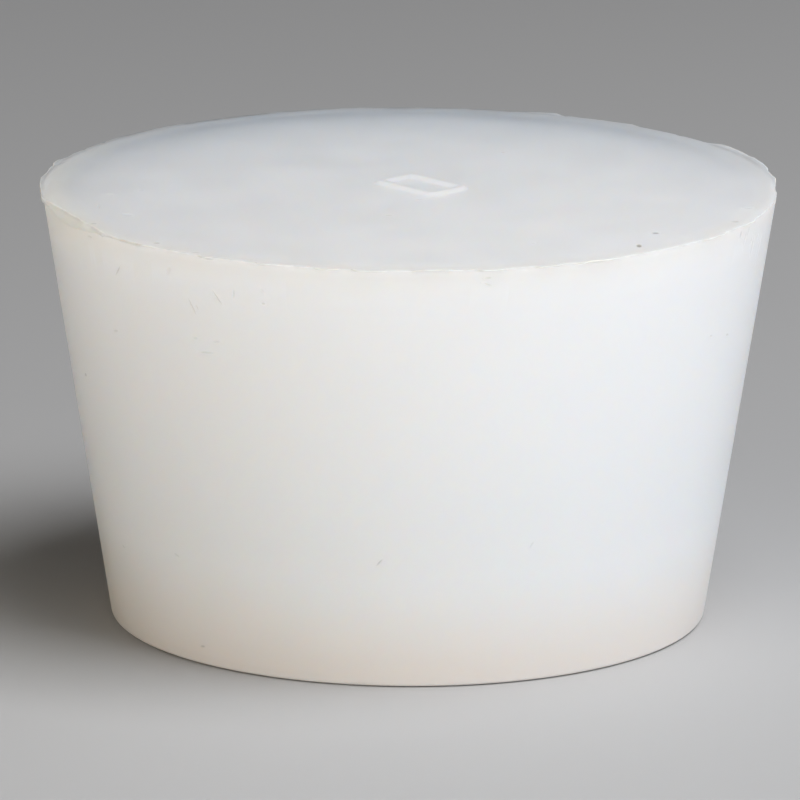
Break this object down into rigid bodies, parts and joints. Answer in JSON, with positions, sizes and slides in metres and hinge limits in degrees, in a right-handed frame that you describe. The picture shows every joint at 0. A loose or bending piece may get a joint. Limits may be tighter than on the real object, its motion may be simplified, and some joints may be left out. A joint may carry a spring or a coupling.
{
  "type": "rubber stopper",
  "caption": "Solid tapered stopper of milky silicone rubber that plugs the neck of a laboratory bottle or flask, with a hand-trimmed flash round its wide end.",
  "frame": {"origin": "centre of the narrow end face, which the stopper stands on", "axes": "+Z along the taper's axis, from the narrow end to the wide end; -Y is the side seen from the front; +X is to the right from there"},
  "size_m": [0.0562, 0.0565, 0.0335],
  "materials": {
    "silicone": "satin"
  },
  "bodies": {
    "root": {"stopper": "silicone"}
  },
  "joints": []
}
